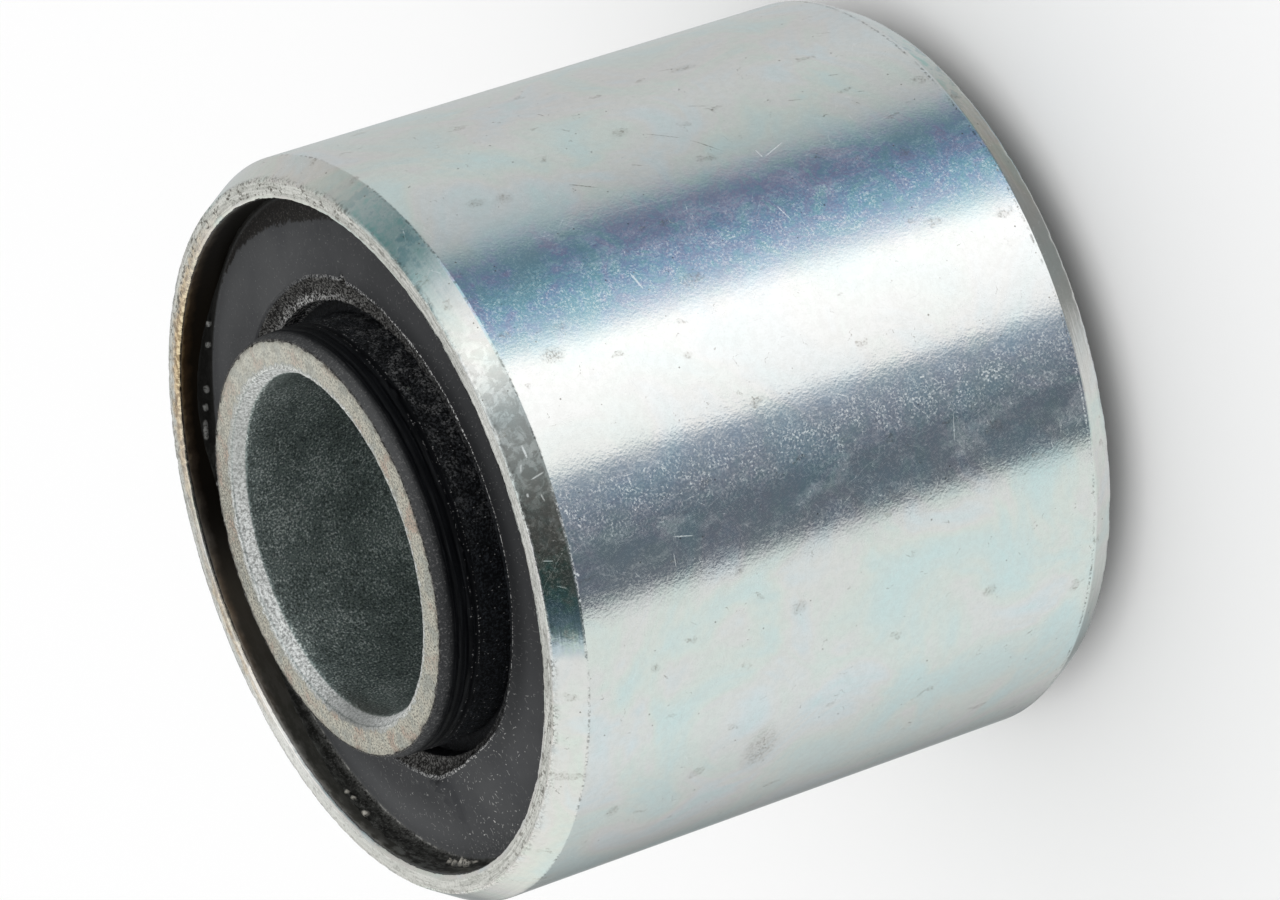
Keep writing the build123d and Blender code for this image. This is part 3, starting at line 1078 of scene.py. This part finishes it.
def rubber_face(g):
    """The face: darker towards the camera and by the lip there as painted shade and the hub's painted shadow,
    paler on its sides and by the wall as painted light, with a dark border by the wall that is widest at the
    back.

    Returns the mask of the border too.
    """
    cloud = g.step(g.noise(4, 4), 0.35, 0.65)
    # paler beside the wall round sides -122 and 132: painted light
    painted_light_by_wall = most(g.arc(-122, 46), g.arc(132, 46) * 0.7) * g.step(g.radius, 16.2, 19.6)
    width = 0.15 + g.arc(82, 50) * 1.65 + (g.noise(0.55, 5, 0.7) - 0.5) * 1.3
    border = g.face * g.step(g.radius + width, BOND_RADIUS - 0.12, BOND_RADIUS + 0.12)
    colour = g.layered(
        g.mix(cloud, (0.038, 0.039, 0.042), (0.046, 0.047, 0.05)),
        # paler round sides -74 and 100 as painted light; darker towards the camera as painted shade, and
        # darkest by the lip there as the hub's painted shadow
        (most(g.arc(-74, 50), g.arc(100, 50)), g.mix(cloud, (0.056, 0.058, 0.062), (0.068, 0.07, 0.073))),
        (g.arc(0, 66) * 0.9, (0.03, 0.031, 0.033)),
        (g.arc(0, 100) * g.step(g.radius, 16.4, 15.1) * 0.95, (0.011, 0.0115, 0.013)),
        (painted_light_by_wall * 0.9, (0.115, 0.118, 0.122)),
        (border * 0.9, g.mix(g.step(g.grain, 0.52, 0.64), (0.01, 0.0085, 0.0075), (0.05, 0.045, 0.04))),
    )
    return colour, border


def rubber_jacket(g, colour, depth, upright):
    """The jacket, grey near the hub's end and nearly black further down as painted shade, its nose paler round
    side 28 as painted light, pale ring crests as painted highlights, and the torn rubber round it.
    """
    drawn = g.noise(1, 3, 0.6, at=g.combine(g.angle * 0.06, depth * 7))
    # grey at the hub's end, nearly black further down towards the groove: painted shade
    near_end = g.step(depth + (drawn - 0.5) * 0.6, 0.95, 0.35)
    jacket_painted_shade = g.mix(g.step(drawn, 0.5, 0.66), (0.001, 0.0014, 0.0026), (0.0075, 0.0085, 0.0105))
    # the nose paler round side 28: painted light
    nose_grey = g.mix(g.arc(28, 56), (0.037, 0.038, 0.04), (0.075, 0.077, 0.079))
    gravel = g.mix(g.step(g.grain, 0.45, 0.58), (0.006, 0.0068, 0.008), (0.16, 0.163, 0.165))
    clusters = most(g.step(g.noise(0.9, 3, 0.6), 0.46, 0.6), g.step(g.radius, 14.5, 15) * 0.7)
    # pale lines on two ring crests: painted highlights
    crest_painted_highlights = most(g.band(depth, 2.12, 0.07), g.band(depth, 2.5, 0.06)) * g.patches
    bits = cell_blots(g, g.unrolled, 0.5, 0.25, 0.08, 7) * g.step(depth, 1.6, 2.2)
    return g.layered(
        colour,
        (upright, g.mix(near_end, jacket_painted_shade, nose_grey)),
        (upright * near_end * g.light_grain * 0.7, (0.16, 0.16, 0.16)),
        (g.torn, g.mix(g.step(g.grain, 0.47, 0.64), (0.001, 0.0014, 0.0024), (0.024, 0.028, 0.034))),
        (g.torn * g.arc(38, 58) * (clusters * 0.8 + 0.2), gravel),
        (upright * crest_painted_highlights * g.light_grain * 0.9, (0.4, 0.4, 0.4)),
        (upright * bits * 0.8, (0.3, 0.3, 0.3)),
    )


def rubber_ledge(g, colour):
    """Broken grains on the ledge, darker towards the camera as painted shade, and pale grains at the edges
    beside it as painted highlights.
    """
    # the ledge's grains darker towards the camera: painted shade
    camera_side_painted_shade = g.arc(-22, 88)
    dark = g.mix(camera_side_painted_shade, (0.016, 0.015, 0.0145), (0.003, 0.004, 0.0055))
    light = g.mix(g.math("POWER", camera_side_painted_shade, 0.6), (0.18, 0.178, 0.17), (0.026, 0.029, 0.034))
    # pale grains along the ledge's inner edge round side 92 and along the lip: painted highlights
    inner_edge = g.step(g.radius, 14.45, 13.9) * g.step(g.radius, 13.5, 13.75) * g.arc(92, 34)
    outer_edge = g.lip * most(g.arc(-85, 50), g.arc(10, 110))
    return g.layered(
        colour,
        (g.ledge, g.mix(g.step(g.grain, 0.47, 0.6), dark, light)),
        (g.step(g.grain, 0.49, 0.57) * most(inner_edge, outer_edge), (0.66, 0.66, 0.65)),
    )


def rubber_skin(g, colour):
    """The skin on the wall, with its flakes and crumbs, a broken pale line at its foot as a painted highlight,
    and the tufts at the hub's end.
    """
    smeared = g.step(g.noise(0.4, 5, 0.7, at=g.combine(g.across * 0.35, g.height)), 0.42, 0.62)
    film = g.layered(
        g.mix(smeared, (0.011, 0.011, 0.0095), (0.052, 0.053, 0.049)),
        (g.step(g.arc(108, 74), 0, 0.4, 0, 0.92), (0.008, 0.0075, 0.0065)),
        (g.light_grain * g.arc(-124, 60) * 0.3, (0.26, 0.26, 0.25)),
    )
    foot = g.foot * g.step(g.arc(-136, 46), 0, 0.5)
    # a pale line on the fillet at the skin's foot: painted highlight
    foot_painted_highlight = foot * g.band(g.radius, BOND_RADIUS - 0.25, 0.09) * g.patches
    spots = [(side, FACE_EDGE + over, half_width * DEGREE_ON_SIDE * 1.3, half_height * 1.5)
             for side, over, half_width, half_height, _ in CRUMBS]
    lines = [(a, FACE_EDGE + b, c, FACE_EDGE + d, FLAKE_WIDTH, 1) for a, b, c, d, _ in FLAKES]
    return g.layered(
        colour,
        (g.skin, film),
        (foot * g.step(g.grain, 0.42, 0.54) * 0.6, (0.2, 0.2, 0.19)),
        (foot_painted_highlight * g.step(g.coarse, 0.44, 0.52), (0.5, 0.5, 0.47)),
        (g.skin * placed_marks(g, lines) * g.step(g.grain, 0.34, 0.54), (0.27, 0.27, 0.26)),
        (g.skin * placed_blots(g, spots) * g.step(g.grain, 0.36, 0.5), (0.55, 0.53, 0.47)),
        (g.fringe, g.mix(g.step(g.grain, 0.45, 0.6), (0.02, 0.019, 0.018), (0.17, 0.165, 0.155))),
    )


def rubber_dust(g):
    """Mask of specks and short bent hairs on the face, most of them on its lower part in the photograph."""
    bent = g.vector("ADD", g.unrolled, g.scaled(g.noise(0.35, 1, colour=True), 0.35))
    hairs = cell_lines(g, bent, 0.46, 0.4, 0.17, 0.05, 5)
    dusty = g.arc(-84, 62) * g.step(g.noise(1.1), 0.38, 0.62) + 0.12
    specks = cell_blots(g, g.unrolled, 0.5, 0.5, 0.055, 6)
    by_wall = g.arc(-72, 40) * g.step(g.radius, 18.4, 19.8) * g.step(g.grain, 0.58, 0.66)
    return most(hairs * dusty, specks * (dusty + 0.1), by_wall) * g.face


def rubber_material():
    g = Surface("rubber", "face", "lip", "ledge", "skin", "fringe", "nose", "jacket", "torn", "foot")
    g.grain = g.noise(0.15, 4, 0.74)
    g.coarse = g.noise(0.4, 3, 0.6)
    g.light_grain = g.step(g.grain, 0.54, 0.62)
    g.patches = g.step(g.noise(1.3), 0.44, 0.58)
    depth = least(HUB_TOP - g.height, g.height)
    upright = most(g.jacket, g.nose)
    colour, border = rubber_face(g)
    colour = rubber_skin(g, rubber_ledge(g, rubber_jacket(g, colour, depth, upright)))
    colour = g.mix(rubber_dust(g), colour, (0.6, 0.6, 0.58))
    rough = 0.55 + (g.grain + g.torn) * 0.15 + border * 0.1
    rugged = most(g.torn, g.skin * 0.5, g.fringe) + upright * 0.3 + 0.06
    normal = g.bump((g.grain + g.coarse * 0.8) * rugged, 0.08)
    return g.finish({"Base Color": colour, "Roughness": rough, "Normal": normal, "Specular IOR Level": 0.15})


# ================================================================ stage, light and camera
CAMERA_AT = (0, -411.2, 236.68)
CAMERA_AIM = (-0.334, 0, 20.523)
CAMERA_ROLL = 108.41
CAMERA_LENS = 222.2
SENSOR = 36
FLOOR_HALF_SIZE = 4


def make_camera():
    data = bpy.data.cameras.new("camera")
    data.lens = CAMERA_LENS
    data.sensor_width = SENSOR
    data.sensor_fit = "HORIZONTAL"
    data.clip_start = 0.01
    data.clip_end = 50
    camera = linked("camera", data)
    forward = (Vector(CAMERA_AIM) - Vector(CAMERA_AT)).normalized()
    level = forward.cross(Vector((0, 0, 1))).normalized()
    upright = level.cross(forward)
    roll = math.radians(CAMERA_ROLL)
    up = math.cos(roll) * upright + math.sin(roll) * level
    right = forward.cross(up)
    turned = Matrix((right, up, -forward)).transposed()
    camera.matrix_world = Matrix.Translation(Vector(CAMERA_AT) * MM) @ turned.to_4x4()
    bpy.context.scene.camera = camera


# What the metal mirrors, as (side angle, colour), seen below and above eye level. These stops are not free
# choices:
# they were worked out from the photograph's colours, averaged by angle on the sleeve's side and bevels
# and divided by the metal's reflectance, and then adjusted against renders.
LOW_PANELS = [
    (-180, (0.55, 0.58, 0.58)), (-165, (0.25, 0.27, 0.27)), (-150, (0.38, 0.4, 0.4)),
    (-135, (0.53, 0.55, 0.55)), (-118, (0.62, 0.66, 0.66)), (-95, (0.75, 0.81, 0.81)),
    (-50, (0.76, 0.81, 0.8)), (-44, (0.74, 0.79, 0.78)), (-41, (0.14, 0.16, 0.19)),
    (-24, (0.13, 0.16, 0.19)), (-14, (0.19, 0.23, 0.28)), (-6, (0.26, 0.32, 0.39)),
    (-2, (0.36, 0.43, 0.5)), (0, (0.98, 0.99, 0.98)), (14, (1.15, 1.14, 1.13)),
    (32, (1.28, 1.27, 1.26)), (37, (0.94, 1, 1.04)), (40, (0.57, 0.69, 0.8)), (52, (0.31, 0.41, 0.5)),
    (60, (0.22, 0.26, 0.33)), (67, (0.22, 0.25, 0.31)), (71, (0.3, 0.34, 0.37)),
    (76, (0.44, 0.48, 0.49)), (90, (0.54, 0.58, 0.58)), (108, (0.6, 0.64, 0.64)),
    (130, (0.57, 0.59, 0.59)), (180, (0.55, 0.58, 0.58)),
]
HIGH_PANELS = [
    (-180, (0.6, 0.6, 0.58)), (-158, (0.84, 0.85, 0.81)), (-80, (0.8, 0.85, 0.83)),
    (-52, (0.78, 0.82, 0.82)), (-50, (0.16, 0.21, 0.23)), (-44, (0.08, 0.11, 0.12)),
    (-31, (0.04, 0.06, 0.06)), (-20, (0.08, 0.09, 0.09)), (-9, (0.12, 0.13, 0.13)),
    (0, (0.26, 0.28, 0.28)), (12, (0.38, 0.4, 0.4)), (22, (0.46, 0.51, 0.52)), (30, (0.8, 0.83, 0.83)),
    (41, (1.18, 1.19, 1.16)), (52, (0.98, 1.01, 1)), (62, (0.72, 0.79, 0.8)), (70, (0.48, 0.57, 0.59)),
    (78, (0.24, 0.33, 0.35)), (87, (0.18, 0.25, 0.26)), (97, (0.28, 0.33, 0.34)),
    (112, (0.43, 0.45, 0.44)), (128, (0.53, 0.54, 0.52)), (180, (0.6, 0.6, 0.58)),
]
# and what the lower bevel mirrors, nearly straight below
DOWN_PANELS = [
    (-180, (0.55, 0.56, 0.55)), (-128, (0.6, 0.62, 0.62)), (-85, (0.72, 0.76, 0.75)),
    (-58, (0.59, 0.6, 0.58)), (-30, (0.42, 0.43, 0.42)), (0, (0.27, 0.28, 0.27)),
    (58, (0.24, 0.25, 0.24)), (89, (0.25, 0.25, 0.24)), (110, (0.3, 0.3, 0.28)),
    (128, (0.39, 0.39, 0.37)), (180, (0.55, 0.56, 0.55)),
]
TENT_WHITE = (0.8, 0.82, 0.82)     # straight above, where the panels meet
SOFT_STRENGTH = 1.08                # even light that everything but a mirror image is lit by


def panel_light(g, angle, panels):
    stops = [((side + 180) / 360, colour) for side, colour in panels]
    return g.ramp(angle * (1 / 360) + 0.5, stops)


def make_world():
    world = bpy.data.worlds.new("studio")
    bpy.context.scene.world = world
    world.use_nodes = True
    g = Graph(world.node_tree)
    angle, up, _ = g.round_axis(g.node("ShaderNodeTexCoord", {}, output=0))
    panels = g.layered(
        panel_light(g, angle, LOW_PANELS),
        (g.step(up, -0.38, 0.02), panel_light(g, angle, HIGH_PANELS)),
        (g.step(up, -0.7, -0.88), panel_light(g, angle, DOWN_PANELS)),
        (g.step(up, 0.75, 0.95), TENT_WHITE),
    )
    mirrored = g.node("ShaderNodeBackground", {"Color": panels, "Strength": 1})
    soft = g.node("ShaderNodeBackground", {"Color": (1, 1, 1), "Strength": SOFT_STRENGTH})
    glossy = g.node("ShaderNodeLightPath", {}, output="Is Glossy Ray")
    light = g.node("ShaderNodeMixShader", {0: glossy, 1: soft, 2: mirrored})
    g.add("ShaderNodeOutputWorld", {"Surface": light})
    bpy.context.scene.view_settings.view_transform = "Standard"


def make_floor():
    mesh = bpy.data.meshes.new("floor")
    far = FLOOR_HALF_SIZE
    mesh.from_pydata([(-far, -far, 0), (far, -far, 0), (far, far, 0), (-far, far, 0)], [], [(0, 1, 2, 3)])
    floor = linked("floor", mesh)
    floor.visible_glossy = False
    mesh.materials.append(Surface("pale_floor").finish({"Base Color": (0.93, 0.93, 0.93), "Roughness": 0.9}))


# ================================================================ the scene
make_camera()
make_world()
make_floor()

outer_sleeve = make_outer_sleeve()
outer_sleeve.data.materials.append(zinc_material())
inner_sleeve = make_inner_sleeve()
inner_sleeve.data.materials.append(bare_steel_material())
rubber = make_rubber()
rubber.data.materials.append(rubber_material())

for piece, node, slot in (
    (outer_sleeve, "outer_sleeve", "zinc_plate"),
    (inner_sleeve, "inner_sleeve", "bare_steel"),
    (rubber, "rubber_element", "rubber"),
):
    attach(piece, "root")
    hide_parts(node)
